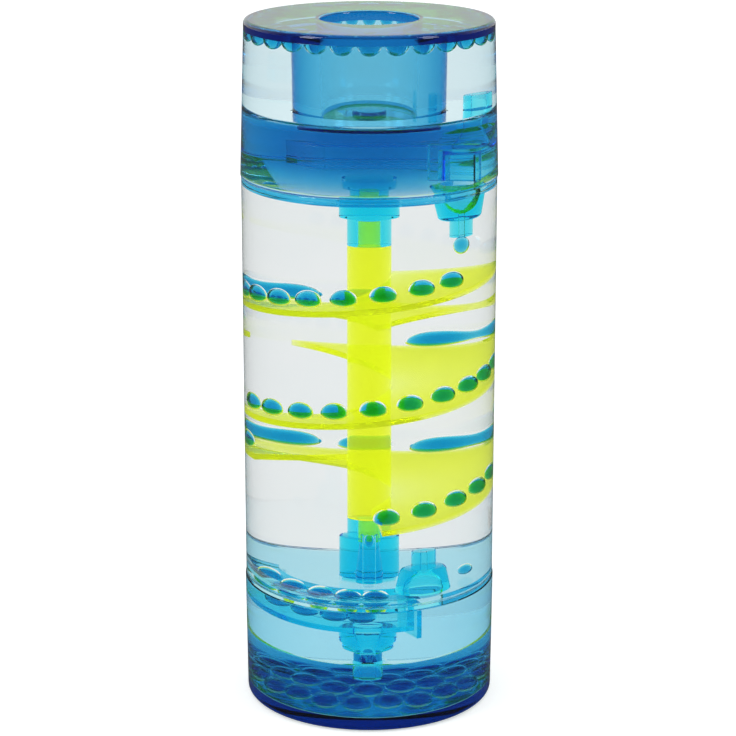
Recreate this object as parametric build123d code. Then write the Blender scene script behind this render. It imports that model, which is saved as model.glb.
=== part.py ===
from build123d import *
import os
from math import atan2, cos, degrees, pi, radians, sin

# A sealed clear cylinder with three chambers. Blue water leaves the upper
# chamber drop by drop, runs down three lime ramps inside clear oil, gathers in
# a gutter and drains into the lower chamber. Turning the timer over restarts it.
# Lengths are in millimetres and angles in degrees. The z axis is the axis of the
# cylinder, the origin is the centre of the underside, and the front is at -y.

# Driving dimensions of the housing, which is a stack of cup, partition, tube,
# partition, cup and lid
tube_radius = 25.4
wall = 1.8
cup_lip = 0.15
lid_taper = 0.9
base_taper = 0.25
lower_cup_height = 25.4
cup_floor = 2.4
flange_thickness = 1.0
spigot_height = 0.8
spigot_gap = 0.05
tube_length = 81.4
upper_cup_height = 28.9
lid_thickness = 2.0
edge_round = 0.9

# Radii and heights that follow from the driving dimensions
bore_radius = tube_radius - wall
cup_mouth_radius = tube_radius + cup_lip
lid_radius = cup_mouth_radius - lid_taper
base_radius = cup_mouth_radius - base_taper
tube_bottom = lower_cup_height + flange_thickness
tube_top = tube_bottom + tube_length
middle_height = (tube_bottom + tube_top) / 2
floor_height = tube_bottom + spigot_height
ceiling_height = tube_top - spigot_height
upper_joint_height = tube_top + flange_thickness
lid_underside = upper_joint_height + upper_cup_height
overall_height = lid_underside + lid_thickness

# The two partitions are alike: the upper one is the lower one turned over about
# a level axis through the middle, which points to this azimuth
turn_over_azimuth = -42.0
half_turn = 180.0
full_turn = 360.0
front_azimuth = -90.0
diagonal = sin(radians(45.0))
cut_margin_angle = 1.0

# Well moulded in the lid, with the filler plug in its floor
well_mouth_radius = 9.7
well_floor_radius = 9.5
well_wall = 0.8
well_depth = 19.4
well_floor = 1.0
well_bottom = overall_height - well_depth
filler_hole_radius = 2.5
plug_head_radius = 3.4
plug_head_height = 0.8
plug_edge = 0.4

# Sockets that hold the post, on the inner faces of the partitions
lower_collar_height = 8.6
upper_collar_height = 5.4
lower_socket_height = 12.3
upper_socket_height = 11.0
collar_radius = 4.1
post_radius = 3.0
peg_radius = 1.5
peg_length = 5.0

# Drip funnels, glued over a round opening of their partition
funnel_azimuth = 2 * turn_over_azimuth + 28.0
funnel_foot_radius = 5.2
funnel_wall_gap = 1.4
funnel_shoulder_radius = 4.35
funnel_shoulder_height = 4.9
funnel_height = 8.4
neck_radius = 2.25
bowl_radius = 3.5
bowl_depth = 3.8
drip_bore_radius = 0.6
funnel_distance = bore_radius - funnel_foot_radius - funnel_wall_gap

# Vent pipe that stands beside the lower socket
vent_azimuth = -90.0
vent_foot_radius = 2.1
vent_foot_height = 2.1
vent_tip_radius = 1.3
vent_height = 10.2
vent_bore_radius = 0.95
vent_distance = collar_radius + vent_foot_radius

# Gutters under an arc slot of their partition, and the drain at their deep end
gutter_start = -202.0
gutter_end = -68.0
gutter_inset = 5.6
gutter_width = 5.6
gutter_wall = 0.9
gutter_depth = 5.0
end_plate_reach = 1.5
end_plate_thickness = 1.0
end_plate_depth = 7.4
gutter_outer_radius = bore_radius - gutter_inset
gutter_inner_radius = gutter_outer_radius - gutter_width
gutter_bottom = lower_cup_height - gutter_depth - gutter_wall
drain_azimuth = -91.0
drain_block_radius = 5.0
drain_block_depth = 2.5
drain_collar_radius = 4.5
drain_collar_depth = 3.9
drain_taper = 0.9
drain_tube_radius = 2.5
drain_bore_radius = 1.25
drain_mouth_radius = 2.6
drain_tip_height = 9.3
drain_distance = (gutter_inner_radius + gutter_outer_radius) / 2

# Three ramps of under one turn each, which sink clockwise seen from above
upper_ramp_drop = 19.9
lower_ramp_rise = 14.7
ramp_headroom = 8.5
ramp_thickness = 1.2
ramp_gap = 0.15
ramp_outer_radius = bore_radius - ramp_gap
upper_ramp_front = ceiling_height - upper_ramp_drop
lower_ramp_front = floor_height + lower_ramp_rise
middle_ramp_front = (upper_ramp_front + lower_ramp_front) / 2
ramp_lead = upper_ramp_front - middle_ramp_front - ramp_headroom
upper_ramp_span = (-290.0, 5.0)
middle_ramp_span = (-189.0, 105.0)
lower_ramp_span = (-84.0, 202.0)

# Drops: wide and flattened by their weight, more so below, as water under oil is
oval_end_share = 0.85
round_share = 0.01
drop_radius = 2.6
drop_crown = 2.1
drop_sole = 1.6
drop_lift = 0.15
drop_gap = 0.1
drop_distance = bore_radius - drop_radius - drop_gap
upper_drop_azimuths = [-45, -63, -83, -103, -122, -141, -160, -178, -196, -214, -233, -251, -268]
middle_drop_azimuths = [74, 55, 37, 19, 2, -15, -32, -50, -69, -88, -108, -127, -147, -167]
lower_drop_azimuths = [184, 165, 146, 127, 109, 91, 73, 54, 35, 16, -3, -22, -41, -61, -81]
gutter_drop_radius = 2.65
gutter_drop_lift = 0.2
gutter_drop_azimuths = [-175, -146, -123, -104, -86]
lower_gutter_drop_azimuths = [-161, -135, -113, -95]
gutter_layer_rise = 3.5
falling_drop_radius = 1.6
falling_drop_half_height = 1.7
falling_drop_gap = 0.1
floor_drop_azimuth = -19.0
floor_drop_inset = 7.2
floor_drop_radius = 1.5
floor_drop_half_height = 1.2
floor_drop_distance = bore_radius - floor_drop_inset
vent_drop_radius = 0.8
vent_drop_half_height = 1.1

# Pools of blue water, held off the wall by a film of oil
oil_film = 0.15
pool_shoulder = 4.2
lower_pool_level = 13.0
upper_pool_depth = 13.1
upper_pool_level = upper_joint_height + upper_pool_depth

# Drops that cling under the lid beside the wall
hanging_drop_radius = 2.3
hanging_drop_depth = 2.3
hanging_drop_pitch = 4.9
hanging_drop_distance = lid_radius - wall - hanging_drop_radius - oil_film

# Rings of unmerged drops on the floor of the lower pool, the inner rings higher
settled_radius = 2.75
settled_half_height = 1.75
settled_gap = 0.4
settled_lift = 0.3
settled_wall_gap = 0.5
settled_stagger = 0.5
settled_outer_distance = base_radius - wall - settled_radius - settled_wall_gap
settled_step = 2 * settled_radius + settled_gap
settled_rise_shares = [0.0, 0.8, 1.15]
settled_azimuths = [-97.0, drain_azimuth, -115.0]


def polar(distance, azimuth):
    """The x and y of a place given by its distance from the axis and its azimuth."""
    return distance * cos(radians(azimuth)), distance * sin(radians(azimuth))


def turned(points, place=(0, 0)):
    """A solid turned about a vertical axis from (radius, height) points."""
    profile = make_face(Polyline([(radius, 0, height) for radius, height in points], close=True))
    return Pos(place[0], place[1], 0) * revolve(profile, Axis.Z)


def disc(radius, bottom, top, place=(0, 0)):
    """An upright round solid between two heights."""
    return turned([(0, bottom), (radius, bottom), (radius, top), (0, top)], place)


def arc_band(inner, outer, start, end):
    """A level face between two radii and two azimuths."""
    middle = (start + end) / 2
    return make_face([
        ThreePointArc(polar(outer, start), polar(outer, middle), polar(outer, end)),
        Line(polar(outer, end), polar(inner, end)),
        ThreePointArc(polar(inner, end), polar(inner, middle), polar(inner, start)),
        Line(polar(inner, start), polar(outer, start)),
    ])


def arc_block(inner, outer, start, end, bottom, top):
    """An upright solid between two radii, two azimuths and two heights."""
    return Pos(0, 0, bottom) * extrude(arc_band(inner, outer, start, end), top - bottom)


def oval_arcs(radius, height):
    """Arcs of a quarter of an oval, from its pole on the z axis to its widest point.
    The height is negative for the lower quarter."""
    if abs(radius - abs(height)) < round_share * radius:
        middle = (radius * diagonal, 0, height * diagonal)
        return [ThreePointArc((0, 0, height), middle, (radius, 0, 0))]
    side = 1 if height > 0 else -1
    short, long = sorted((radius, abs(height)))
    small = oval_end_share * short
    shift = long - small
    large = (shift**2 + short**2 - small**2) / (2 * (short - small))
    depth = large - short
    reach = large - small
    if radius > abs(height):
        cap_centre, cap_radius, cap_angle = -depth, large, atan2(shift, depth)
        end_centre, end_radius, end_height = shift, small, 0
    else:
        cap_centre, cap_radius, cap_angle = shift, small, atan2(depth, shift)
        end_centre, end_radius, end_height = -depth, large, 0
    join_x = cap_radius * sin(cap_angle)
    join_z = cap_centre + cap_radius * cos(cap_angle)
    end_angle = atan2(join_z - end_height, join_x - end_centre) / 2
    return [
        ThreePointArc((0, 0, height),
                      (cap_radius * sin(cap_angle / 2), 0,
                       side * (cap_centre + cap_radius * cos(cap_angle / 2))),
                      (join_x, 0, side * join_z)),
        ThreePointArc((join_x, 0, side * join_z),
                      (end_centre + end_radius * cos(end_angle), 0,
                       side * (end_height + end_radius * sin(end_angle))),
                      (radius, 0, 0)),
    ]


def ball(radius, crown, sole, distance, azimuth, height):
    """A drop whose widest level is at a distance, azimuth and height."""
    x, y = polar(distance, azimuth)
    profile = make_face([
        *oval_arcs(radius, crown),
        *oval_arcs(radius, -sole),
        Line((0, 0, -sole), (0, 0, crown)),
    ])
    return Pos(x, y, height) * revolve(profile, Axis.Z)


def turned_over(shape):
    """The same shape on the other partition, half a turn about the level axis."""
    x, y = polar(1, turn_over_azimuth)
    return shape.rotate(Axis((0, 0, middle_height), (x, y, 0)), half_turn)


def save(name, shape):
    """Write one node."""
    export_step(shape, f"parts/{name}.step")


# Housing

def middle_tube():
    """Clear tube between the two joints."""
    return disc(tube_radius, tube_bottom, tube_top) - disc(bore_radius, tube_bottom, tube_top)


def lower_cup():
    """Tinted cup that closes the lower chamber, a little narrower at its foot."""
    outside = turned([
        (0, 0),
        (base_radius - edge_round, 0),
        (base_radius, edge_round),
        (cup_mouth_radius, lower_cup_height),
        (0, lower_cup_height),
    ])
    inside = turned([
        (0, cup_floor),
        (base_radius - wall, cup_floor),
        (cup_mouth_radius - wall, lower_cup_height),
        (0, lower_cup_height),
    ])
    return outside - inside


def upper_cup():
    """Tinted wall of the upper chamber, from the upper joint to the lid."""
    return turned([
        (cup_mouth_radius, upper_joint_height),
        (lid_radius, lid_underside),
        (lid_radius - wall, lid_underside),
        (cup_mouth_radius - wall, upper_joint_height),
    ])


def lid():
    """Round-edged lid with a deep well in its middle and the filler hole below."""
    outside = turned([
        (0, well_bottom),
        (well_floor_radius + well_wall, well_bottom),
        (well_mouth_radius + well_wall, lid_underside),
        (lid_radius, lid_underside),
        (lid_radius, overall_height - edge_round),
        (lid_radius - edge_round, overall_height),
        (0, overall_height),
    ])
    well = turned([
        (0, well_bottom + well_floor),
        (well_floor_radius, well_bottom + well_floor),
        (well_mouth_radius, overall_height),
        (0, overall_height),
    ])
    hole = disc(filler_hole_radius, well_bottom, well_bottom + well_floor)
    return outside - well - hole


def filler_plug():
    """Plug pressed into the filler hole once the timer has been filled."""
    seat = well_bottom + well_floor
    return turned([
        (0, well_bottom),
        (filler_hole_radius, well_bottom),
        (filler_hole_radius, seat),
        (plug_head_radius, seat),
        (plug_head_radius, seat + plug_head_height - plug_edge),
        (plug_head_radius - plug_edge, seat + plug_head_height),
        (0, seat + plug_head_height),
    ])


# Partitions and what is fixed to them, each made for the lower partition

def partition(collar_height, socket_height):
    """Disc across the housing with a stepped socket, a slot and a round opening.
    Its flange lies between cup and tube, and its spigot fits inside the tube."""
    spigot_radius = bore_radius - spigot_gap
    socket_top = floor_height + socket_height
    body = turned([
        (0, lower_cup_height),
        (tube_radius, lower_cup_height),
        (tube_radius, tube_bottom),
        (spigot_radius, tube_bottom),
        (spigot_radius, floor_height),
        (collar_radius, floor_height),
        (collar_radius, floor_height + collar_height),
        (post_radius, floor_height + collar_height),
        (post_radius, socket_top),
        (peg_radius, socket_top),
        (peg_radius, socket_top - peg_length),
        (0, socket_top - peg_length),
    ])
    slot = arc_block(gutter_inner_radius, gutter_outer_radius, gutter_start, gutter_end,
                     lower_cup_height, floor_height)
    opening = disc(bowl_radius, lower_cup_height, floor_height, polar(funnel_distance, funnel_azimuth))
    return body - slot - opening


def vent_hole():
    """The bore of the vent pipe through the lower partition."""
    return disc(vent_bore_radius, lower_cup_height, floor_height, polar(vent_distance, vent_azimuth))


def drip_funnel():
    """Bell with a bowl inside, which narrows to a fine bore through its neck."""
    foot = floor_height
    tip = foot + funnel_height
    return turned([
        (bowl_radius, foot),
        (funnel_foot_radius, foot),
        (funnel_shoulder_radius, foot + funnel_shoulder_height - edge_round),
        (funnel_shoulder_radius - edge_round, foot + funnel_shoulder_height),
        (neck_radius, foot + funnel_shoulder_height),
        (neck_radius, tip),
        (drip_bore_radius, tip),
        (drip_bore_radius, foot + bowl_depth),
        (bowl_radius * diagonal, foot + bowl_depth * diagonal),
    ], polar(funnel_distance, funnel_azimuth))


def vent_pipe():
    """Tapered pipe with a fine bore that stands against the lower socket."""
    foot = floor_height
    return turned([
        (vent_bore_radius, foot),
        (vent_foot_radius, foot),
        (vent_foot_radius, foot + vent_foot_height),
        (vent_tip_radius, foot + vent_height),
        (vent_bore_radius, foot + vent_height),
    ], polar(vent_distance, vent_azimuth))


def gutter():
    """Trough below the slot, closed at both ends, with a hole over the drain."""
    inner = gutter_inner_radius - gutter_wall
    outer = gutter_outer_radius + gutter_wall
    wall_angle = degrees(gutter_wall / drain_distance)
    trough_end = gutter_end + wall_angle
    trough = arc_block(inner, outer, gutter_start - wall_angle, trough_end,
                       gutter_bottom, lower_cup_height)
    trough -= arc_block(gutter_inner_radius, gutter_outer_radius, gutter_start, gutter_end,
                        gutter_bottom + gutter_wall, lower_cup_height)
    trough -= disc(drain_mouth_radius, gutter_bottom, gutter_bottom + gutter_wall,
                   polar(drain_distance, drain_azimuth))
    plate_angle = degrees(end_plate_thickness / drain_distance)
    plate = arc_block(inner - end_plate_reach, outer + end_plate_reach,
                      trough_end, trough_end + plate_angle,
                      lower_cup_height - end_plate_depth, lower_cup_height)
    return trough + plate


def drain_outside():
    """Outer points of the drain, from its top to its tip."""
    collar_bottom = gutter_bottom - drain_collar_depth
    return [
        (drain_block_radius, gutter_bottom),
        (drain_block_radius, gutter_bottom - drain_block_depth),
        (drain_collar_radius, gutter_bottom - drain_block_depth),
        (drain_collar_radius, collar_bottom),
        (drain_tube_radius, collar_bottom - drain_taper),
        (drain_tube_radius, drain_tip_height),
    ]


def drain():
    """Stepped spout that hangs from the gutter and ends in an open tube."""
    return turned([
        (drain_mouth_radius, gutter_bottom),
        *drain_outside(),
        (drain_bore_radius, drain_tip_height),
        (drain_bore_radius, gutter_bottom - drain_collar_depth),
    ], polar(drain_distance, drain_azimuth))


# Post and ramps

def spiral_post():
    """Lime post with a thinner peg at each end."""
    bottom = floor_height + lower_socket_height
    top = ceiling_height - upper_socket_height
    return turned([
        (0, bottom - peg_length),
        (peg_radius, bottom - peg_length),
        (peg_radius, bottom),
        (post_radius, bottom),
        (post_radius, top),
        (peg_radius, top),
        (peg_radius, top + peg_length),
        (0, top + peg_length),
    ])


def ramp_surface(front_height, azimuth):
    """Height of a ramp's upper face at an azimuth."""
    return front_height + ramp_lead * (azimuth - front_azimuth) / full_turn


def ramp(front_height, span):
    """Helical plate round the post: a sector that turns as it rises, cut square at both ends."""
    low_end, high_end = span
    sector_angle = full_turn * ramp_thickness / ramp_lead
    swept_angle = high_end - low_end + sector_angle
    rise = ramp_lead * swept_angle / full_turn
    bottom = ramp_surface(front_height, low_end) - ramp_thickness
    sector = arc_band(post_radius, ramp_outer_radius, low_end - sector_angle, low_end)
    helicoid = Solid.extrude_linear_with_rotation(
        sector.face().outer_wire(), (0, 0, 0), (0, 0, rise), swept_angle)
    beyond = 2 * ramp_outer_radius
    inside = post_radius / 2
    low_waste = arc_block(inside, beyond, low_end - sector_angle - cut_margin_angle, low_end,
                          -ramp_thickness, 2 * ramp_thickness)
    high_waste = arc_block(inside, beyond, high_end, high_end + sector_angle + cut_margin_angle,
                           rise - 2 * ramp_thickness, rise + ramp_thickness)
    return Pos(0, 0, bottom) * (helicoid - low_waste - high_waste)


# Water

def ramp_drops(front_height, azimuths):
    """Drops on one ramp, each resting on it beside the wall of the tube."""
    lift = drop_sole + drop_lift
    return Compound(children=[
        ball(drop_radius, drop_crown, drop_sole, drop_distance, azimuth,
             ramp_surface(front_height, azimuth) + lift)
        for azimuth in azimuths
    ])


def gutter_drops():
    """Two layers of drops that queue in the gutter for the drain."""
    lower = gutter_bottom + gutter_wall + gutter_drop_lift + drop_sole
    upper = lower + gutter_layer_rise
    places = [(azimuth, lower) for azimuth in lower_gutter_drop_azimuths]
    places += [(azimuth, upper) for azimuth in gutter_drop_azimuths]
    return Compound(children=[
        ball(gutter_drop_radius, drop_crown, drop_sole, drain_distance, azimuth, height)
        for azimuth, height in places
    ])


def falling_drop():
    """Drop that has just left the neck of the upper funnel."""
    half_height = falling_drop_half_height
    height = ceiling_height - funnel_height - falling_drop_gap - half_height
    azimuth = 2 * turn_over_azimuth - funnel_azimuth
    return ball(falling_drop_radius, half_height, half_height, funnel_distance, azimuth, height)


def floor_drop():
    """Stray drop that creeps round on the lower partition."""
    half_height = floor_drop_half_height
    height = floor_height + half_height + drop_lift
    return ball(floor_drop_radius, half_height, half_height,
                floor_drop_distance, floor_drop_azimuth, height)


def vent_drop():
    """Bead of water caught in the mouth of the vent pipe."""
    half_height = vent_drop_half_height
    height = floor_height + vent_height - half_height
    return ball(vent_drop_radius, half_height, half_height, vent_distance, vent_azimuth, height)


def hanging_drops():
    """Ring of drops that cling under the lid beside the wall."""
    count = int(2 * pi * hanging_drop_distance / hanging_drop_pitch)
    below = disc(tube_radius, lid_underside - 2 * hanging_drop_depth, lid_underside)
    drops = []
    for index in range(count):
        whole = ball(hanging_drop_radius, hanging_drop_depth, hanging_drop_depth,
                     hanging_drop_distance, front_azimuth + full_turn * index / count, lid_underside)
        drops.append((whole & below).solid())
    return Compound(children=drops)


def settled(margin):
    """Drops that lie unmerged in the lower pool, each swollen by a margin."""
    half_height = settled_half_height + margin
    lowest = cup_floor + settled_lift + settled_half_height
    drops = []
    for ring, rise_share in enumerate(settled_rise_shares):
        distance = settled_outer_distance - ring * settled_step
        count = int(2 * pi * distance / settled_step)
        for index in range(count):
            height = lowest + rise_share * settled_half_height + settled_stagger * (index % 2)
            azimuth = settled_azimuths[ring] + full_turn * index / count
            drops.append(ball(settled_radius + margin, half_height, half_height,
                              distance, azimuth, height))
    return drops


def pool_body(bottom, level, bottom_radius, top_radius):
    """Water between two heights, rounded over where it curves away from the wall."""
    shoulder_height = level - pool_shoulder
    inner = top_radius - pool_shoulder
    bulge = pool_shoulder * diagonal
    profile = make_face([
        Line((0, 0, bottom), (bottom_radius, 0, bottom)),
        Line((bottom_radius, 0, bottom), (top_radius, 0, shoulder_height)),
        ThreePointArc((top_radius, 0, shoulder_height),
                      (inner + bulge, 0, shoulder_height + bulge),
                      (inner, 0, level)),
        Line((inner, 0, level), (0, 0, level)),
        Line((0, 0, level), (0, 0, bottom)),
    ])
    return revolve(profile, Axis.Z)


def lower_pool():
    """Water in the lower cup, round the drops that lie in it and the end of the drain."""
    radius = base_radius - wall - oil_film
    water = pool_body(cup_floor, lower_pool_level, radius, radius)
    for drop in settled(oil_film):
        water -= drop
    return water - disc(drain_tube_radius + oil_film, drain_tip_height - oil_film, lower_pool_level,
                        polar(drain_distance, drain_azimuth))


def upper_pool(pieces_in_water):
    """Water in the upper cup and in the bowl and bore of the upper funnel."""
    radius = lid_radius - wall - oil_film
    water = pool_body(upper_joint_height, upper_pool_level, radius, radius)
    bowl = turned([
        (0, lower_cup_height),
        (bowl_radius, lower_cup_height),
        (bowl_radius, floor_height),
        (bowl_radius * diagonal, floor_height + bowl_depth * diagonal),
        (drip_bore_radius, floor_height + bowl_depth),
        (drip_bore_radius, floor_height + funnel_height),
        (0, floor_height + funnel_height),
    ], polar(funnel_distance, funnel_azimuth))
    water += turned_over(bowl)
    for piece in pieces_in_water:
        water -= piece
    return water


def well_space():
    """The well of the lid with a film of oil round it, which dips into the upper pool."""
    return turned([
        (0, well_bottom - oil_film),
        (well_floor_radius + well_wall + oil_film, well_bottom - oil_film),
        (well_mouth_radius + well_wall + oil_film, lid_underside),
        (0, lid_underside),
    ])


def gutter_space():
    """The gutter with the room inside it, which stays free of water."""
    inner = gutter_inner_radius - gutter_wall
    outer = gutter_outer_radius + gutter_wall
    return arc_block(inner, outer, gutter_start - cut_margin_angle, gutter_end,
                     gutter_bottom, lower_cup_height)


def drain_space():
    """The drain with its bore closed."""
    return turned([(0, gutter_bottom), *drain_outside(), (0, drain_tip_height)],
                  polar(drain_distance, drain_azimuth))


os.makedirs("parts", exist_ok=True)

save("middle_tube", middle_tube())
save("lower_cup", lower_cup())
save("upper_cup", upper_cup())
save("lid", lid())
save("filler_plug", filler_plug())
save("lower_partition", partition(lower_collar_height, lower_socket_height) - vent_hole())
save("upper_partition", turned_over(partition(upper_collar_height, upper_socket_height)))
save("lower_drip_funnel", drip_funnel())
save("upper_drip_funnel", turned_over(drip_funnel()))
save("vent_pipe", vent_pipe())
save("lower_gutter", gutter())
save("upper_gutter", turned_over(gutter()))
save("lower_drain", drain())
save("upper_drain", turned_over(drain()))
save("spiral_post", spiral_post())
save("ramp_upper", ramp(upper_ramp_front, upper_ramp_span))
save("ramp_middle", ramp(middle_ramp_front, middle_ramp_span))
save("ramp_lower", ramp(lower_ramp_front, lower_ramp_span))
save("upper_ramp_drops", ramp_drops(upper_ramp_front, upper_drop_azimuths))
save("middle_ramp_drops", ramp_drops(middle_ramp_front, middle_drop_azimuths))
save("lower_ramp_drops", ramp_drops(lower_ramp_front, lower_drop_azimuths))
save("gutter_drops", gutter_drops())
save("falling_drop", falling_drop())
save("floor_drop", floor_drop())
save("vent_drop", vent_drop())
save("hanging_drops", hanging_drops())
save("settled_drops", Compound(children=settled(0)))
save("lower_pool", lower_pool())
save("upper_pool", upper_pool([
    well_space(),
    turned_over(gutter()),
    turned_over(gutter_space()),
    turned_over(drain_space()),
]))
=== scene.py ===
import math

import bpy
from mathutils import Matrix, Vector


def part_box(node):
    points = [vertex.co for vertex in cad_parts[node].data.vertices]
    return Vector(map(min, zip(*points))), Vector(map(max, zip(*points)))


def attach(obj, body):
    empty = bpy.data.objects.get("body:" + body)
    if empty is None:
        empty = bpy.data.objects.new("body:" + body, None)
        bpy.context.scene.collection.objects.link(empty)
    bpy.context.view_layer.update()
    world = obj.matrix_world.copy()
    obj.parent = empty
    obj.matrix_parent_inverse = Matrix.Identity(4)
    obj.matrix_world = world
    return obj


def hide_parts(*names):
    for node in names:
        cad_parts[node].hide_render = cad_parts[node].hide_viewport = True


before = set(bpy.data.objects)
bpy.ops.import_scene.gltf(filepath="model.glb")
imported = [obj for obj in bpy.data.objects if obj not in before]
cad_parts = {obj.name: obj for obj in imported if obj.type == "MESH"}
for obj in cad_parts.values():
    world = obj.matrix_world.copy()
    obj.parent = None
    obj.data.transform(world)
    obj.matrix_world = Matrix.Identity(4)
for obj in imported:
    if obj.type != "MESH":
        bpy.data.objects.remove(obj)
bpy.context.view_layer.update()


# The studio: pale card under the timer, a white room and two soft lamps. A ray that
# has passed through the timer meets even white, and one that its surfaces mirror
# meets a room that is dim in front, where the camera stands, and bright behind.

def linear(colour):
    """Turn an sRGB hex colour into the linear one that a shader takes."""
    shares = [int(colour[start:start + 2], 16) / 255 for start in (1, 3, 5)]
    return [s / 12.92 if s <= 0.04045 else ((s + 0.055) / 1.055) ** 2.4 for s in shares] + [1.0]


def add_node(tree, kind, inputs=None, **settings):
    """Add a shader node, set it, and set or link its inputs."""
    new = tree.nodes.new(kind)
    for key, value in settings.items():
        setattr(new, key, value)
    for name, value in (inputs or {}).items():
        if isinstance(value, bpy.types.NodeSocket):
            tree.links.new(value, new.inputs[name])
        else:
            new.inputs[name].default_value = value
    return new


def total(tree, weights):
    """Add up light path outputs, each with a weight."""
    path = add_node(tree, "ShaderNodeLightPath")
    running = 0.0
    for name, weight in weights.items():
        step = add_node(tree, "ShaderNodeMath", {0: path.outputs[name], 1: weight, 2: running},
                        operation="MULTIPLY_ADD", use_clamp=True)
        running = step.outputs[0]
    return running


room_strength = 0.9
dim_front, bright_back = 0.12, 0.8
studio = bpy.data.worlds.new("white_studio")
bpy.context.scene.world = studio
studio.use_nodes = True
tree = studio.node_tree
tree.nodes.clear()
room_light = add_node(tree, "ShaderNodeBackground", {
    "Color": linear("#f4f6f8"), "Strength": room_strength})
white = add_node(tree, "ShaderNodeBackground", {"Color": linear("#ffffff"), "Strength": 1.0})
seen = total(tree, {"Is Camera Ray": 1.0, "Is Transmission Ray": 1.0})
sky = add_node(tree, "ShaderNodeMixShader", {0: seen, 1: room_light.outputs[0], 2: white.outputs[0]})
place = add_node(tree, "ShaderNodeTexCoord")
split = add_node(tree, "ShaderNodeSeparateXYZ", {0: place.outputs["Generated"]})
backdrop = add_node(tree, "ShaderNodeMapRange", {
    "Value": split.outputs["Y"], "From Min": -0.1, "From Max": 0.5,
    "To Min": dim_front, "To Max": bright_back})
mirrored = add_node(tree, "ShaderNodeBackground", {
    "Color": linear("#ffffff"), "Strength": backdrop.outputs["Result"]})
# Cycles counts a transmitted ray as glossy too, so it is taken off again.
mirror_ray = total(tree, {"Is Glossy Ray": 1.0, "Is Transmission Ray": -1.0})
mixed = add_node(tree, "ShaderNodeMixShader", {0: mirror_ray, 1: sky.outputs[0], 2: mirrored.outputs[0]})
add_node(tree, "ShaderNodeOutputWorld", {"Surface": mixed.outputs[0]})

# The card is matt, with fibres drawn coarse enough to show. It glows a little for
# the camera, so that it comes out as white as the sky.
fibres_per_metre = 900.0
card_glow = 0.45
white_share = 0.7
dark_share = 0.85
bpy.ops.object.select_all(action="DESELECT")
bpy.ops.mesh.primitive_plane_add(size=3.0, location=(0, 0, -0.0002))
card = bpy.context.object
card.name = "card"
card_paper = bpy.data.materials.new("matt_card")
card_paper.use_nodes = True
tree = card_paper.node_tree
tree.nodes.clear()
place = add_node(tree, "ShaderNodeTexCoord")
fibre = add_node(tree, "ShaderNodeTexNoise", {
    "Vector": place.outputs["Object"], "Scale": fibres_per_metre, "Detail": 3.0})
tone = add_node(tree, "ShaderNodeValToRGB", {"Fac": fibre.outputs["Fac"]})
tone.color_ramp.elements[0].color = linear("#e6e8ea")
tone.color_ramp.elements[1].color = linear("#f0f1f2")
matt = add_node(tree, "ShaderNodeBsdfDiffuse", {"Color": tone.outputs["Color"]})
glow = add_node(tree, "ShaderNodeEmission", {
    "Color": linear("#ffffff"), "Strength": total(tree, {"Is Camera Ray": card_glow})})
lit = add_node(tree, "ShaderNodeAddShader", {0: matt.outputs[0], 1: glow.outputs[0]})
even = add_node(tree, "ShaderNodeEmission", {"Color": linear("#ffffff"), "Strength": 1.0})
both = add_node(tree, "ShaderNodeMixShader", {
    0: total(tree, {"Is Transmission Ray": white_share}), 1: lit.outputs[0], 2: even.outputs[0]})
dark = add_node(tree, "ShaderNodeBsdfDiffuse", {"Color": linear("#000000")})
mirror_ray = total(tree, {"Is Glossy Ray": dark_share, "Is Transmission Ray": -dark_share})
card_shader = add_node(tree, "ShaderNodeMixShader", {0: mirror_ray, 1: both.outputs[0], 2: dark.outputs[0]})
add_node(tree, "ShaderNodeOutputMaterial", {"Surface": card_shader.outputs[0]})
card.data.materials.append(card_paper)

for side, power in ((-1, 2.2), (1, 1.6)):
    lamp = bpy.data.lights.new("soft_lamp", "AREA")
    lamp.shape = "RECTANGLE"
    lamp.size, lamp.size_y = 0.25, 0.7
    lamp.energy = power
    stand = bpy.data.objects.new("soft_lamp", lamp)
    bpy.context.scene.collection.objects.link(stand)
    stand.location = (side * 0.7, -0.45, 0.45)
    stand.rotation_euler = (Vector((0, 0, 0.07)) - stand.location).to_track_quat("-Z", "Y").to_euler()

# The camera stands half a metre in front and looks down on the lid. Light is
# followed through many surfaces, because the timer is clear all through.

camera_place = (-0.00025, -0.5, 0.2104)
looks_down = 15.83
camera = bpy.data.cameras.new("camera")
camera.sensor_width = 36.0
camera.lens = 125.5
camera.clip_start = 0.01
viewpoint = bpy.data.objects.new("camera", camera)
bpy.context.scene.collection.objects.link(viewpoint)
viewpoint.location = camera_place
viewpoint.rotation_euler = (math.radians(90.0 - looks_down), 0, 0)
bpy.context.scene.camera = viewpoint
bpy.context.scene.cycles.max_bounces = 60
bpy.context.scene.cycles.transmission_bounces = 60
bpy.context.scene.cycles.glossy_bounces = 16
bpy.context.scene.view_settings.view_transform = "Standard"


# Lower cup: injection-moulded blue polystyrene, a little narrower at its foot,
# with a rounded lower edge. It closes the lower chamber and is glued at its mouth.

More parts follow.
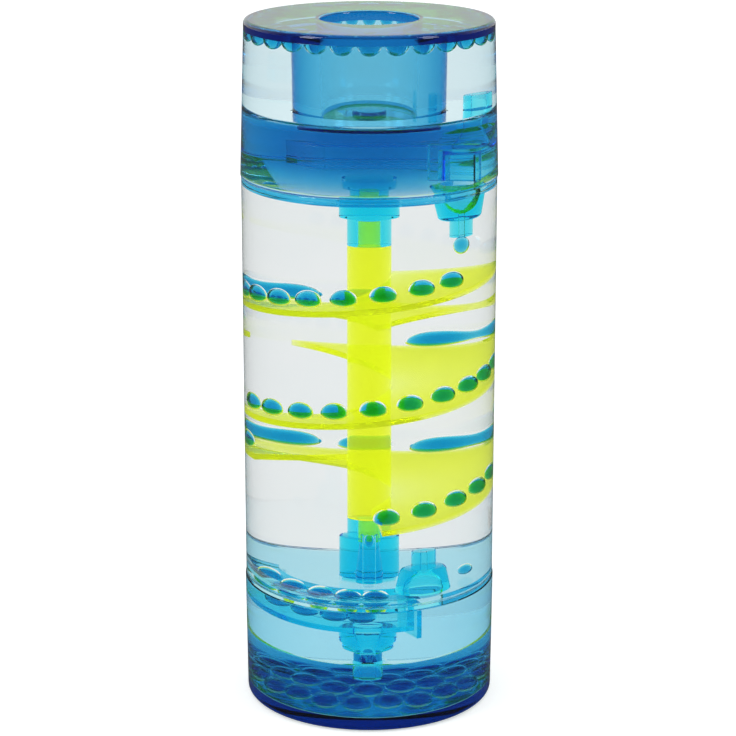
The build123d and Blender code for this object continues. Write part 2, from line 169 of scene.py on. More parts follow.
def outline(name, points):
    """Draw a section beside the z axis from (radius, height) points in millimetres."""
    bpy.ops.object.select_all(action="DESELECT")
    bpy.ops.mesh.primitive_plane_add(size=0.001, location=(0, 0, 0))
    piece = bpy.context.object
    piece.name = name
    bpy.ops.object.mode_set(mode="EDIT")
    bpy.ops.mesh.select_mode(type="VERT")
    bpy.ops.mesh.select_all(action="SELECT")
    bpy.ops.mesh.merge(type="CENTER")
    radius, height = points[0]
    bpy.ops.transform.translate(value=(radius / 1000, 0, height / 1000))
    for (radius, height), (next_radius, next_height) in zip(points, points[1:]):
        step = ((next_radius - radius) / 1000, 0, (next_height - height) / 1000)
        bpy.ops.mesh.extrude_region_move(TRANSFORM_OT_translate={"value": step})
    if points[0][0] or points[-1][0]:
        bpy.ops.object.mode_set(mode="OBJECT")
        ends = [Vector((radius / 1000, 0, height / 1000)) for radius, height in (points[0], points[-1])]
        for vertex in piece.data.vertices:
            vertex.select = min((vertex.co - end).length for end in ends) < 1e-6
        bpy.ops.object.mode_set(mode="EDIT")
        bpy.ops.mesh.edge_face_add()
    bpy.ops.object.mode_set(mode="OBJECT")
    return piece


def oblong(name, inner, outer, low, top):
    """Draw an oblong section between two radii and two heights."""
    return outline(name, [(inner, low), (outer, low), (outer, top), (inner, top)])


def bend(centre, height, size, start, end, steps=6):
    """Points of a rounded corner of a section, between two angles in degrees."""
    angles = [math.radians(start + (end - start) * index / steps) for index in range(steps + 1)]
    return [(centre + size * math.cos(angle), height + size * math.sin(angle)) for angle in angles]


def spun(piece, steps=160, start=0.0, sweep=360.0, rise=0.0):
    """Spin the section about the z axis, close what is open and point the faces outwards."""
    spin = piece.modifiers.new("spin", "SCREW")
    spin.angle = math.radians(sweep)
    spin.screw_offset = rise / 1000
    spin.steps = spin.render_steps = steps
    spin.use_merge_vertices = True
    spin.merge_threshold = 0.000001
    bpy.context.view_layer.objects.active = piece
    bpy.ops.object.modifier_apply(modifier=spin.name)
    piece.rotation_euler.z = math.radians(start)
    piece.select_set(True)
    bpy.ops.object.transform_apply(location=True, rotation=True, scale=True)
    bpy.ops.object.mode_set(mode="EDIT")
    bpy.ops.mesh.select_all(action="SELECT")
    bpy.ops.mesh.remove_doubles(threshold=0.000002)
    bpy.ops.mesh.select_all(action="DESELECT")
    bpy.ops.mesh.select_mode(type="EDGE")
    bpy.ops.mesh.select_non_manifold(
        use_wire=False, use_multi_face=False, use_non_contiguous=False, use_verts=False)
    if sweep < 360:
        bpy.ops.mesh.fill()
    bpy.ops.mesh.select_all(action="SELECT")
    bpy.ops.mesh.normals_make_consistent(inside=False)
    bpy.ops.object.mode_set(mode="OBJECT")
    return piece


def rounded(piece, width=0.25, segments=2, smooth=35.0, walls=True):
    """Break the moulded edges and shade what curves as smooth. Large faces set the
    normals, because a wall that is shaded towards its rim would bend what is seen through it."""
    if width:
        edge = piece.modifiers.new("edge", "BEVEL")
        edge.width = width / 1000
        edge.segments = segments
        edge.limit_method = "ANGLE"
        edge.angle_limit = math.radians(40)
        bpy.context.view_layer.objects.active = piece
        bpy.ops.object.modifier_apply(modifier=edge.name)
    bpy.ops.object.select_all(action="DESELECT")
    piece.select_set(True)
    bpy.context.view_layer.objects.active = piece
    bpy.ops.object.mode_set(mode="EDIT")
    bpy.ops.mesh.select_all(action="SELECT")
    bpy.ops.mesh.dissolve_degenerate(threshold=0.0000005)
    bpy.ops.object.mode_set(mode="OBJECT")
    bpy.ops.object.shade_smooth_by_angle(angle=math.radians(smooth))
    if walls:
        even = piece.modifiers.new("even", "WEIGHTED_NORMAL")
        even.weight = 100
        even.keep_sharp = True
        bpy.ops.object.modifier_apply(modifier=even.name)
    return piece


def finished(piece, node, body):
    """Put a piece in the place of its node."""
    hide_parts(node)
    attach(piece, body)
    return piece


def see_through(name, dye, density, in_air, in_oil, flow=0.004, spacing=16.0, milk_and_glow=None):
    """Clear plastic or water, dyed all through, with faint flow marks in its gloss and tone.
    Faces marked in_air bend light by the full index, and the others by what is left in oil.
    The milk and glow are the share of the plastic that is cloudy, its colour, and the strength of a painted
    glow that it gives off though it is no lamp."""
    material = bpy.data.materials.new(name)
    material.use_nodes = True
    tree = material.node_tree
    tree.nodes.clear()
    place = add_node(tree, "ShaderNodeTexCoord")
    marks = add_node(tree, "ShaderNodeTexNoise", {
        "Vector": place.outputs["Object"], "Scale": 1000.0 / spacing, "Detail": 4.0})
    tone = add_node(tree, "ShaderNodeValToRGB", {"Fac": marks.outputs["Fac"]})
    tone.color_ramp.elements[0].color = linear("#fbfdfd")
    tone.color_ramp.elements[1].color = linear("#ffffff")
    gloss = add_node(tree, "ShaderNodeMapRange", {
        "Value": marks.outputs["Fac"], "To Min": 0.0, "To Max": flow})
    faces = [add_node(tree, "ShaderNodeBsdfGlass", {
        "Color": tone.outputs["Color"], "Roughness": gloss.outputs["Result"], "IOR": index})
        for index in (in_air, in_oil)]
    where = add_node(tree, "ShaderNodeAttribute", attribute_name="in_air")
    surface = add_node(tree, "ShaderNodeMixShader", {
        0: where.outputs["Fac"], 1: faces[1].outputs[0], 2: faces[0].outputs[0]})
    if milk_and_glow:
        share, colour, painted_glow = milk_and_glow
        through = add_node(tree, "ShaderNodeBsdfTranslucent", {"Color": linear(colour)})
        back = add_node(tree, "ShaderNodeBsdfDiffuse", {"Color": linear(colour)})
        cloud = add_node(tree, "ShaderNodeMixShader", {0: 0.5, 1: through.outputs[0], 2: back.outputs[0]})
        # Painted glow: an emission that brightens the cloudy share, though the plastic is no lamp.
        painted_glow_light = add_node(tree, "ShaderNodeEmission", {"Color": linear(colour), "Strength": painted_glow})
        cloud = add_node(tree, "ShaderNodeAddShader", {0: cloud.outputs[0], 1: painted_glow_light.outputs[0]})
        surface = add_node(tree, "ShaderNodeMixShader", {
            0: share, 1: surface.outputs[0], 2: cloud.outputs[0]})
    inside = add_node(tree, "ShaderNodeVolumeAbsorption", {"Color": linear(dye), "Density": density})
    add_node(tree, "ShaderNodeOutputMaterial", {"Surface": surface.outputs[0], "Volume": inside.outputs[0]})
    return material


def mark_air(piece, in_air):
    """Mark the faces that stand in air, found by radius, height and normal."""
    marks = piece.data.attributes.new("in_air", "FLOAT", "FACE")
    for face in piece.data.polygons:
        x, y, z = face.center * 1000
        marks.data[face.index].value = 1.0 if in_air(math.hypot(x, y), z, face.normal) else 0.0
    return piece


# Polystyrene from a polished mould: clear and glossy, and bluest where the eye looks
# along a wall. The two values are its index in air and what is left of it in oil.
polystyrene_bends = (1.59, 1.09)
blue_polystyrene = see_through("blue_polystyrene", "#3fdcf2", 280.0, *polystyrene_bends)
gap = 0.03
close = 0.05
wall = 1.8
cup_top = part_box("lower_cup")[1][2] * 1000
cup_mouth = 25.55
cup_foot = 25.3
cup_floor = 2.4
foot_round = 1.1
lip_round = 0.15
corner_round = 0.6
lower_cup = spun(outline("lower_cup_moulding", [
    (0, 0), *bend(cup_foot - foot_round, foot_round, foot_round, -90, 0),
    *bend(cup_mouth - lip_round, cup_top - lip_round, lip_round, 0, 90, 3), (cup_mouth - wall, cup_top),
    *bend(cup_foot - wall - corner_round, cup_floor + corner_round, corner_round, 0, -90, 4),
    (0, cup_floor)]))
lower_cup.data.materials.append(blue_polystyrene)
rounded(lower_cup, width=0)
mark_air(lower_cup, lambda r, z, n: z < foot_round or (
    r > cup_foot - 2 * close and z < cup_top - lip_round / 2))
finished(lower_cup, "lower_cup", "housing")

# Lower partition: a blue disc between the cup and the tube, with an arc slot over the
# gutter and a round opening under the funnel. A flange makes the joint, a spigot
# centres the tube, and the stepped socket of the post stands in the middle.


def cut(piece, tool, operation="DIFFERENCE"):
    """Cut one closed piece out of another, or fuse it on, and throw the tool away."""
    bore = piece.modifiers.new("bore", "BOOLEAN")
    bore.operation = operation
    bore.solver = "EXACT"
    bore.object = tool
    bpy.context.view_layer.objects.active = piece
    bpy.ops.object.modifier_apply(modifier=bore.name)
    bpy.data.objects.remove(tool, do_unlink=True)
    return piece


def placed(piece, distance, azimuth):
    """Move a piece from the axis to its place in plan."""
    angle = math.radians(azimuth)
    offset = (distance * math.cos(angle) / 1000, distance * math.sin(angle) / 1000, 0)
    piece.data.transform(Matrix.Translation(offset))
    return piece


def joined(name, pieces):
    """Make several shells one piece."""
    bpy.ops.object.select_all(action="DESELECT")
    for piece in pieces:
        piece.select_set(True)
    bpy.context.view_layer.objects.active = pieces[0]
    if len(pieces) > 1:
        bpy.ops.object.join()
    pieces[0].name = name
    return pieces[0]


def turned_over(piece):
    """Turn a piece over about the level axis through the middle, onto the upper partition."""
    middle = Vector((0, 0, (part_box("middle_tube")[0][2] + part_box("middle_tube")[1][2]) / 2))
    level = Vector((math.cos(math.radians(turn_azimuth)), math.sin(math.radians(turn_azimuth)), 0))
    turn = Matrix.Translation(middle) @ Matrix.Rotation(math.pi, 4, level) @ Matrix.Translation(-middle)
    piece.data.transform(turn)
    return piece


turn_azimuth = -42.0
tube_radius = 25.4
bore_radius = tube_radius - wall
tube_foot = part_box("middle_tube")[0][2] * 1000
spigot = 0.8
floor = tube_foot + spigot
collar_radius = 4.1
post_radius = 3.0
peg_radius = 1.5
peg_length = 5.0
slot_inner = 12.4
slot_outer = 18.0
slot_start, slot_end = -202.0, -68.0
funnel_place = (17.0, -56.0)
funnel_bowl = 3.5
vent_place = (6.2, -90.0)
vent_bore = 0.95
flange_round = 0.2
collar_round = 0.2
socket_round = 0.1
margin = 1.0


def partition(name, collar_height, socket_height, vent):
    """Disc with its openings and its stepped socket, as the lower one stands."""
    foot = cup_top + gap
    disc = spun(outline(name, [
        (collar_radius + gap, foot),
        *bend(tube_radius - flange_round, foot + flange_round, flange_round, -90, 0, 3),
        *bend(tube_radius - flange_round, tube_foot - gap - flange_round, flange_round, 0, 90, 3),
        (bore_radius - gap, tube_foot - gap), (bore_radius - gap, floor), (collar_radius + gap, floor)]))
    under, over = cup_top - margin, floor + margin
    cut(disc, spun(oblong("slot", slot_inner, slot_outer, under, over),
                   60, slot_start, slot_end - slot_start))
    cut(disc, placed(spun(oblong("opening", 0, funnel_bowl, under, over), 48), *funnel_place))
    if vent:
        cut(disc, placed(spun(oblong("vent", 0, vent_bore, under, over), 24), *vent_place))
    disc.data.materials.append(floor_polystyrene)
    mark_air(disc, lambda r, z, n: r > tube_radius - 0.5 * flange_round)
    collar_top = floor + collar_height
    socket_top = floor + socket_height
    socket = spun(outline("socket", [
        (0, foot), (collar_radius, foot),
        *bend(collar_radius - collar_round, collar_top - collar_round, collar_round, 0, 90, 3),
        (post_radius, collar_top),
        *bend(post_radius - socket_round, socket_top - socket_round, socket_round, 0, 90, 2),
        (peg_radius + gap, socket_top), (peg_radius + gap, socket_top - peg_length - gap),
        (0, socket_top - peg_length - gap)]), 72)
    socket.data.materials.append(deep_blue_polystyrene)
    return rounded(joined(name, [disc, socket]), width=0)


# The same plastic in a strong dye for the socket and the inserts, which makes them
# stand out, and in a weak one for the disc, which the eye sees edge on.
deep_blue_polystyrene = see_through("deep_blue_polystyrene", "#00f5fd", 600.0, *polystyrene_bends)
floor_polystyrene = see_through("floor_blue_polystyrene", "#3fe7f9", 80.0, *polystyrene_bends)
finished(partition("lower_partition_moulding", collar_height=8.6, socket_height=12.3, vent=True),
         "lower_partition", "housing")

# Lower gutter: a blue trough under the arc slot, deepest at its end plate, glued
# to the underside of the disc. Drops queue in it for the drain.

gutter_wall = 0.9
gutter_floor = cup_top - 5.0
gutter_bottom = gutter_floor - gutter_wall
drain_place = (15.2, -91.0)
drain_mouth = 2.6
plate_reach = 1.5
plate_depth = 7.4
plate_thickness = 1.0
plate_turn = 0.15
wall_angle = math.degrees(gutter_wall / drain_place[0])


def end_plate(name, inner, outer, low, top, start, thickness):
    """Flat plate across the end of the trough, from a radial plane onwards."""
    plate = oblong(name, inner, outer, low, top)
    bpy.ops.object.mode_set(mode="EDIT")
    bpy.ops.mesh.select_all(action="SELECT")
    bpy.ops.mesh.edge_face_add()
    bpy.ops.mesh.extrude_region_move(TRANSFORM_OT_translate={"value": (0, thickness / 1000, 0)})
    bpy.ops.mesh.select_all(action="SELECT")
    bpy.ops.mesh.normals_make_consistent(inside=False)
    bpy.ops.object.mode_set(mode="OBJECT")
    plate.data.transform(Matrix.Rotation(math.radians(start), 4, "Z"))
    return plate


def gutter(name):
    """Trough with closed ends and its end plate, as the lower one hangs."""
    inner, outer, top = slot_inner - gutter_wall, slot_outer + gutter_wall, cup_top - gap
    trough = spun(oblong(name, inner, outer, gutter_bottom, top),
                  72, slot_start - wall_angle, slot_end - slot_start + 2 * wall_angle)
    cut(trough, spun(oblong("channel", slot_inner, slot_outer, gutter_floor, top + margin),
                     66, slot_start, slot_end - slot_start))
    mouth = spun(oblong("mouth", 0, drain_mouth, gutter_bottom - margin, gutter_floor + margin), 48)
    cut(trough, placed(mouth, *drain_place))
    plate = end_plate("plate", inner - plate_reach, outer + plate_reach, cup_top - plate_depth, top,
                      slot_end + wall_angle + plate_turn, plate_thickness)
    whole = joined(name, [rounded(trough, width=0), rounded(plate, 0.12)])
    whole.data.materials.append(deep_blue_polystyrene)
    return whole


finished(gutter("lower_gutter_moulding"), "lower_gutter", "housing")

# Lower drain: a stepped blue spout glued under the deep end of the gutter, which
# ends in an open tube just inside the lower pool.

drain_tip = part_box("lower_drain")[0][2] * 1000
block_radius, block_depth = 5.0, 2.5
step_radius, step_depth = 4.5, 3.9
spout_radius, spout_depth, spout_bore = 2.5, 4.8, 1.25


def drain(name):
    """Spout that ends in an open tube, as the lower one hangs."""
    top = gutter_bottom - gap
    spout = spun(outline(name, [
        (drain_mouth, top), (block_radius, top), (block_radius, top - block_depth),
        (step_radius, top - block_depth), (step_radius, top - step_depth),
        (spout_radius, top - spout_depth), (spout_radius, drain_tip), (spout_bore, drain_tip),
        (spout_bore, top - step_depth)]), 72)
    spout.data.materials.append(deep_blue_polystyrene)
    return placed(rounded(spout, 0.2), *drain_place)


finished(drain("lower_drain_moulding"), "lower_drain", "housing")

# Lower drip funnel: a blue bell glued over the round opening, with a bowl inside
# that narrows to a fine bore. It meters the drops when the timer is turned over.

funnel_foot = 5.2
funnel_height = 8.4
bell_radius, bell_height, bell_round = 4.35, 4.9, 0.9
bowl_depth = 3.8
neck = 2.25
fine_bore = 0.6


def drip_funnel(name):
    """Bell with its neck and fine bore, as the lower one stands."""
    foot = floor + gap
    bowl = [(funnel_bowl * math.cos(math.radians(a)), foot + bowl_depth * math.sin(math.radians(a)))
            for a in range(80, -1, -10)]
    bell = spun(outline(name, [
        (funnel_foot, foot),
        *bend(bell_radius - bell_round, foot + bell_height - bell_round, bell_round, 0, 90, 5),
        (neck, foot + bell_height), (neck, floor + funnel_height), (fine_bore, floor + funnel_height),
        (fine_bore, foot + bowl_depth), *bowl]), 72)
    bell.data.materials.append(deep_blue_polystyrene)
    return placed(rounded(bell, 0.2), *funnel_place)


finished(drip_funnel("lower_drip_funnel_moulding"), "lower_drip_funnel", "housing")

# Vent pipe: a tapered blue pipe glued against the lower socket, open at its tip,
# through which oil rises as water drains.

vent_foot = 2.1
vent_tip = 1.3
vent_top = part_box("vent_pipe")[1][2] * 1000
vent_pipe = spun(outline("vent_pipe_moulding", [
    (vent_bore, floor + gap), (vent_foot - gap, floor + gap), (vent_foot - gap, floor + vent_foot),
    (vent_tip, vent_top), (vent_bore, vent_top)]), 48)
vent_pipe.data.materials.append(deep_blue_polystyrene)
finished(placed(rounded(vent_pipe, 0.12), *vent_place), "vent_pipe", "housing")

# Post: a lime acrylic rod, dyed all through so that its colour is deepest where it is thick, with a painted
# glow on its surface and a thin peg at each end in the sockets.

# Acrylic with a fluorescent dye: clear and glossy, yet it looks lit from inside, so a share of it is milky
# and carries a painted glow, an emission that stands in for the fluorescence and lifts its brightness.
lime_acrylic = see_through("lime_acrylic", "#fbfc89", 700.0, in_air=1.49, in_oil=1.03,
                           milk_and_glow=(0.3, "#e6f032", 0.68))
post_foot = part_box("spiral_post")[0][2] * 1000
post_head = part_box("spiral_post")[1][2] * 1000
spiral_post = spun(outline("post_rod", [
    (0, post_foot + gap), (peg_radius, post_foot + gap), (peg_radius, post_foot + peg_length + gap),
    (post_radius, post_foot + peg_length + gap), (post_radius, post_head - peg_length - gap),
    (peg_radius, post_head - peg_length - gap), (peg_radius, post_head - gap), (0, post_head - gap)]), 64)
spiral_post.data.materials.append(lime_acrylic)
finished(rounded(spiral_post, 0.15), "spiral_post", "housing")

# Ramps: three lime acrylic mouldings pushed on the post, each a thin helical plate
# of under one turn with a rounded rim.

ramp_lead = 14.1
ramp_thickness = 1.2
ramp_edge = bore_radius - 0.15
upper_front, middle_front, lower_front = 87.1, 64.5, 41.9


def ramp(name, front_height, low_end, high_end):
    """Helical plate between two azimuths; its height is that of its top face at the front."""
    top = front_height + ramp_lead * (low_end + 90.0) / 360
    hub = post_radius + gap
    plate = spun(outline(name, [
        (hub, top), (hub, top - ramp_thickness), (ramp_edge, top - ramp_thickness), (ramp_edge, top)]),
        144, low_end, high_end - low_end, ramp_lead * (high_end - low_end) / 360)
    plate.data.materials.append(lime_acrylic)
    return rounded(plate, 0.3, 3)


finished(ramp("upper_ramp_plate", upper_front, -290.0, 5.0), "ramp_upper", "housing")
finished(ramp("middle_ramp_plate", middle_front, -189.0, 105.0), "ramp_middle", "housing")
finished(ramp("lower_ramp_plate", lower_front, -84.0, 202.0), "ramp_lower", "housing")

# Middle tube: clear cast acrylic, 1.8 mm thick, polished inside and out, glued
# between the two partitions.

# Cast acrylic, polished: it shows by its gloss outside, and hardly at all in the oil.
clear_acrylic = see_through("clear_acrylic", "#d0d2d0", 40.0, in_air=1.49, in_oil=1.0205, flow=0.002)
tube_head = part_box("middle_tube")[1][2] * 1000
tube_round = 0.12
middle_tube = spun(outline("middle_tube_section", [
    (bore_radius, tube_foot), *bend(tube_radius - tube_round, tube_foot + tube_round, tube_round, -90, 0, 2),
    *bend(tube_radius - tube_round, tube_head - tube_round, tube_round, 0, 90, 2),
    (bore_radius, tube_head)]))
middle_tube.data.materials.append(clear_acrylic)
rounded(middle_tube, width=0)
mark_air(middle_tube, lambda r, z, n: r > tube_radius - tube_round / 2)
finished(middle_tube, "middle_tube", "housing")

# Upper partition with its gutter, drain and drip funnel: the same mouldings as
# below, turned over, with a lower collar.

upper_partition = partition("upper_partition_moulding", collar_height=5.4, socket_height=11.0, vent=False)
finished(turned_over(upper_partition), "upper_partition", "housing")
finished(turned_over(gutter("upper_gutter_moulding")), "upper_gutter", "housing")
finished(turned_over(drain("upper_drain_moulding")), "upper_drain", "housing")
finished(turned_over(drip_funnel("upper_drip_funnel_moulding")),
         "upper_drip_funnel", "housing")

# Upper cup: the pale blue wall of the upper chamber, in a weaker dye than the
# lower one, with a slight draft towards the lid.

pale_polystyrene = see_through("pale_blue_polystyrene", "#3fdcf2", 60.0, *polystyrene_bends)
wall_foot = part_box("upper_cup")[0][2] * 1000
wall_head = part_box("upper_cup")[1][2] * 1000
lid_radius = 24.65
upper_cup = spun(outline("upper_cup_moulding", [
    *bend(cup_mouth - lip_round, wall_foot + lip_round, lip_round, -90, 0, 3), (lid_radius, wall_head - gap),
    (lid_radius - wall, wall_head - gap), (cup_mouth - wall, wall_foot)]))
upper_cup.data.materials.append(pale_polystyrene)
rounded(upper_cup, width=0)
mark_air(upper_cup, lambda r, z, n: n.z > -0.9 and n.z < 0.9 and r > lid_radius - wall / 2)
finished(upper_cup, "upper_cup", "housing")

# Lid: blue polystyrene with a rounded rim, glued to the wall of the upper cup. The
# deep open well in its middle comes down into the upper pool.

lid_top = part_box("lid")[1][2] * 1000
rim_round = 0.9
# The well's thin wall takes a dye about three times as strong to look as blue as the rim.
lid_polystyrene = see_through("lid_blue_polystyrene", "#3fdcf2", 380.0, *polystyrene_bends)
well_polystyrene = see_through("well_blue_polystyrene", "#3fdcf2", 1100.0, *polystyrene_bends)
well_mouth, well_foot, well_wall, well_floor, well_round = 9.7, 9.5, 0.8, 1.0, 0.5
well_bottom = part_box("lid")[0][2] * 1000
hole = 2.5
rim = spun(outline("lid_moulding", [
    (well_mouth + well_wall + gap, wall_head), (lid_radius, wall_head),
    *bend(lid_radius - rim_round, lid_top - rim_round, rim_round, 0, 90),
    (well_mouth + well_wall + gap, lid_top)]))
rim.data.materials.append(lid_polystyrene)
mark_air(rim, lambda r, z, n: z > wall_head + close and r > well_mouth + well_wall + 2 * close)
well = spun(outline("well", [
    (hole, well_bottom),
    *bend(well_foot + well_wall - well_round, well_bottom + well_round, well_round, -90, 0, 4),
    (well_mouth + well_wall, wall_head), (well_mouth + well_wall, lid_top),
    *bend(well_mouth + well_round, lid_top - well_round, well_round, 90, 180, 5),
    *bend(well_foot - well_round, well_bottom + well_floor + well_round, well_round, 0, -90, 4),
    (hole, well_bottom + well_floor)]))
well.data.materials.append(well_polystyrene)
open_floor = well_bottom + well_floor - close
mark_air(well, lambda r, z, n: z > lid_top - well_round - 2 * close or (
    z > open_floor and hole + close < r < well_mouth + close))
lid = rounded(joined("lid_moulding", [rim, well]), width=0)
finished(lid, "lid", "housing")

# Filler plug: a small blue stopper pressed into the hole in the floor of the well
# once the timer has been filled.

plug_head = 3.4
plug_round = 0.4
plug_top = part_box("filler_plug")[1][2] * 1000
filler_plug = spun(outline("filler_plug_moulding", [
    (0, well_bottom), (hole - gap, well_bottom), (hole - gap, well_bottom + well_floor + gap),
    (plug_head, well_bottom + well_floor + gap),
    *bend(plug_head - plug_round, plug_top - plug_round, plug_round, 0, 90, 4), (0, plug_top)]), 64)
filler_plug.data.materials.append(blue_polystyrene)
rounded(filler_plug, width=0)
mark_air(filler_plug, lambda r, z, n: z > open_floor)
finished(filler_plug, "filler_plug", "housing")

# Drops of blue water on the ramps, in the gutter and between them, each a bead
# that its own weight flattens. Water in oil bends light the other way round, so
# the rims of the beads mirror the white surround.

# Water with a blue dye, strong enough to show in a drop of a few millimetres.
water_bends = (1.333, 0.913)
drop_water = see_through("blue_water_drops", "#00e7f6", 1100.0, *water_bends, flow=0.0)


def bead(radius, crown, sole):
    """One bead of water about the origin, whose widest level is nearer to its sole."""
    bpy.ops.object.select_all(action="DESELECT")
    bpy.ops.mesh.primitive_uv_sphere_add(segments=40, ring_count=24, radius=radius / 1000)
    drop = bpy.context.object
    for height, side in ((crown, 1), (sole, -1)):
        for vertex in drop.data.vertices:
            vertex.select = vertex.co.z * side > 1e-6
        bpy.ops.object.mode_set(mode="EDIT")
        bpy.ops.mesh.select_mode(type="VERT")
        bpy.ops.transform.resize(value=(1, 1, height / radius), center_override=(0, 0, 0))
        bpy.ops.mesh.select_all(action="DESELECT")
        bpy.ops.object.mode_set(mode="OBJECT")
    drop.data.polygons.foreach_set("use_smooth", [True] * len(drop.data.polygons))
    drop.data.materials.append(drop_water)
    return drop


def strung(name, drop, places):
    """Copy a bead to (distance, azimuth, height) places and make the copies one piece."""
    copies = []
    for distance, azimuth, height in places:
        copy = drop.copy()
        copy.data = drop.data.copy()
        bpy.context.scene.collection.objects.link(copy)
        copy.data.transform(Matrix.Translation((0, 0, height / 1000)))
        copies.append(placed(copy, distance, azimuth))
    bpy.data.objects.remove(drop, do_unlink=True)
    return joined(name, copies)


drop_radius, drop_crown, drop_sole = 2.6, 2.1, 1.6
drop_lift = drop_sole + 0.15
drop_distance = bore_radius - drop_radius - 0.1


def ramp_drops(name, front_height, azimuths):
    """Beads in a row on one ramp, beside the wall."""
    return strung(name, bead(drop_radius, drop_crown, drop_sole), [
        (drop_distance, azimuth, front_height + ramp_lead * (azimuth + 90) / 360 + drop_lift)
        for azimuth in azimuths])


finished(ramp_drops("upper_row_of_beads", upper_front,
                    [-45, -63, -83, -103, -122, -141, -160, -178, -196, -214, -233, -251, -268]),
         "upper_ramp_drops", "ramp_drops")
finished(ramp_drops("middle_row_of_beads", middle_front,
                    [74, 55, 37, 19, 2, -15, -32, -50, -69, -88, -108, -127, -147, -167]),
         "middle_ramp_drops", "ramp_drops")
finished(ramp_drops("lower_row_of_beads", lower_front,
                    [184, 165, 146, 127, 109, 91, 73, 54, 35, 16, -3, -22, -41, -61, -81]),
         "lower_ramp_drops", "ramp_drops")
queue_radius = 2.65
first_layer = gutter_floor + drop_sole + 0.2
second_layer = first_layer + 3.5
queue = [(drain_place[0], azimuth, first_layer) for azimuth in (-161, -135, -113, -95)]
queue += [(drain_place[0], azimuth, second_layer) for azimuth in (-175, -146, -123, -104, -86)]
finished(strung("gutter_beads", bead(queue_radius, drop_crown, drop_sole), queue),
         "gutter_drops", "gutter_drops")
falling_place = (17.0, -28, 96.8)
finished(strung("falling_bead", bead(radius=1.6, crown=1.7, sole=1.7), [falling_place]),
         "falling_drop", "falling_drop")
creeping_place = (16.4, -19, floor + 1.35)
finished(strung("creeping_bead", bead(radius=1.5, crown=1.2, sole=1.2), [creeping_place]),
         "floor_drop", "floor_drop")
vent_crown = 1.1
finished(strung("vent_bead", bead(0.8, vent_crown, vent_crown), [(*vent_place, vent_top - vent_crown)]),
         "vent_drop", "housing")

# Drops of blue water that cling under the lid, in a ring just inside the wall. Each
# is half a bead with its flat side against the lid.

clinging = 26
clinging_radius = 2.3
clinging_distance = 20.4
half_bead = bead(clinging_radius, clinging_radius, clinging_radius)
bpy.ops.object.mode_set(mode="EDIT")
bpy.ops.mesh.select_all(action="SELECT")
bpy.ops.mesh.bisect(plane_co=(0, 0, 0), plane_no=(0, 0, 1), use_fill=True, clear_outer=True)
bpy.ops.object.mode_set(mode="OBJECT")
rounded(half_bead, 0.2)
finished(strung("clinging_beads", half_bead, [
    (clinging_distance, -90 + 360 / clinging * index, wall_head - gap) for index in range(clinging)]),
    "hanging_drops", "housing")

# Lower pool: itself a wide flat drop in the oil, rounded over well short of the
# wall. Unmerged drops lie on the floor inside it, each in a skin of oil, and the
# end of the drain dips into it.

# The same water where it stands deep, so that a weaker dye gives as strong a blue.
pool_water = see_through("blue_water_pool", "#00daf2", 150.0, *water_bends, flow=0.0)
# The lower pool takes about half the dye: a lighter copy of the same water, painted light that makes up for
# the light lost through the cup walls and the shade on the card behind it.
lightened_lower_water = see_through("blue_water_lower_pool", "#00daf2", 76.0, *water_bends, flow=0.0)
film = 0.15
pool_shoulder = 4.2
pool_foot = 0.3


def pool(name, radius, bottom, level, dye):
    """Water between two heights with a rounded shoulder."""
    water = spun(outline(name, [
        (0, bottom), *bend(radius - pool_foot, bottom + pool_foot, pool_foot, -90, 0, 3),
        *bend(radius - pool_shoulder, level - pool_shoulder, pool_shoulder, 0, 90, 18), (0, level)]))
    water.data.materials.append(dye)
    return rounded(water, width=0, walls=False)


lower_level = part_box("lower_pool")[1][2] * 1000
settled_radius, settled_height = 2.75, 1.75
ring_step = 2 * settled_radius + 0.4
wall_space, floor_space, stagger = 0.5, 0.3, 0.5
settled = []
for ring, (rise, first_azimuth) in enumerate(((0.0, -97.0), (0.8, -91.0), (1.15, -115.0))):
    distance = cup_foot - wall - settled_radius - wall_space - ring * ring_step
    count = int(2 * math.pi * distance / ring_step)
    for index in range(count):
        height = cup_floor + floor_space + settled_height * (1 + rise) + stagger * (index % 2)
        settled.append((distance, first_azimuth + 360 * index / count, height))
dents = strung("dents", bead(settled_radius + film, settled_height + film, settled_height + film), settled)
bpy.ops.object.mode_set(mode="EDIT")
bpy.ops.mesh.select_all(action="SELECT")
bpy.ops.mesh.flip_normals()
bpy.ops.object.mode_set(mode="OBJECT")
lower_pool = pool("lower_pool_water", cup_foot - wall - film, cup_floor + gap, lower_level, lightened_lower_water)
dip = spun(oblong("dip", 0, spout_radius + film, drain_tip - film, lower_level + margin), 48)
cut(lower_pool, placed(dip, *drain_place))
dents.data.materials.clear()
dents.data.materials.append(lightened_lower_water)
finished(joined("lower_pool_water", [lower_pool, dents]), "lower_pool", "housing")
skin = 0.2
settled_bead = bead(settled_radius - skin, settled_height - skin, settled_height - skin)
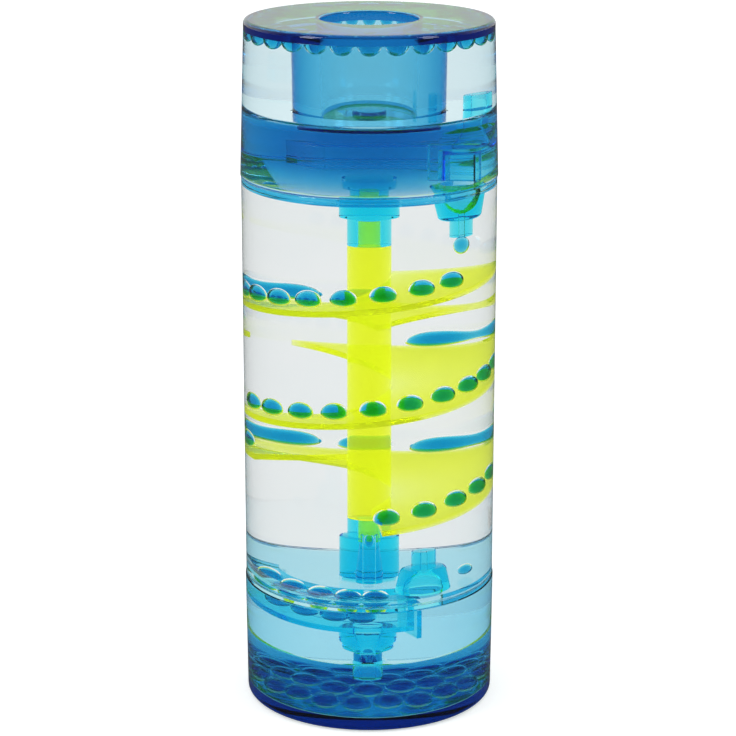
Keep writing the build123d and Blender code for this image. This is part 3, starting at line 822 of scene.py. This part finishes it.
finished(strung("settled_beads", settled_bead, settled), "settled_drops", "housing")

# Upper pool: it stands round the gutter and the drain and under the well, and
# fills the bowl and the bore of the upper funnel.

upper_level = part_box("upper_pool")[1][2] * 1000
upper_pool = pool("upper_pool_water", lid_radius - wall - film, wall_foot + gap, upper_level, pool_water)
bowl_radius = funnel_bowl - gap
bowl_water = turned_over(placed(spun(outline("bowl_water", [
    (0, cup_top - margin), (bowl_radius, cup_top - margin), (bowl_radius, floor),
    *[(bowl_radius * math.cos(math.radians(a)), floor + (bowl_depth - gap) * math.sin(math.radians(a)))
      for a in range(0, 71, 10)],
    (fine_bore - gap, floor + bowl_depth - gap), (fine_bore - gap, floor + funnel_height),
    (0, floor + funnel_height)]), 48), *funnel_place))
cut(upper_pool, bowl_water, "UNION")
below = cup_top + margin
slack = 0.1
inner, outer = slot_inner - gutter_wall - gap, slot_outer + gutter_wall + gap
cut(upper_pool, turned_over(spun(
    oblong("trough_space", inner, outer, gutter_bottom - gap, below),
    72, slot_start - wall_angle - slack, slot_end - slot_start + 2 * wall_angle + 2 * slack)))
inner, outer, low = inner - plate_reach, outer + plate_reach, cup_top - plate_depth - gap
cut(upper_pool, turned_over(end_plate("plate_space", inner, outer, low, below,
                                      slot_end + wall_angle + slack / 2, plate_thickness + 2 * gap)))
cut(upper_pool, turned_over(placed(spun(outline("drain_space", [
    (0, drain_tip - margin), (spout_radius + gap, drain_tip - margin),
    (spout_radius + gap, gutter_bottom - spout_depth - gap),
    (step_radius + gap, gutter_bottom - step_depth - gap),
    (step_radius + gap, gutter_bottom - block_depth - gap),
    (block_radius + gap, gutter_bottom - block_depth - gap),
    (block_radius + gap, gutter_bottom + margin / 2), (0, gutter_bottom + margin / 2)]), 72), *drain_place)))
cut(upper_pool, spun(outline("well_space", [
    (0, well_bottom - film), (well_foot + well_wall + film, well_bottom - film),
    (well_mouth + well_wall + film, upper_level + 2 * margin), (0, upper_level + 2 * margin)])))
rounded(upper_pool, width=0, walls=False)
finished(upper_pool, "upper_pool", "housing")
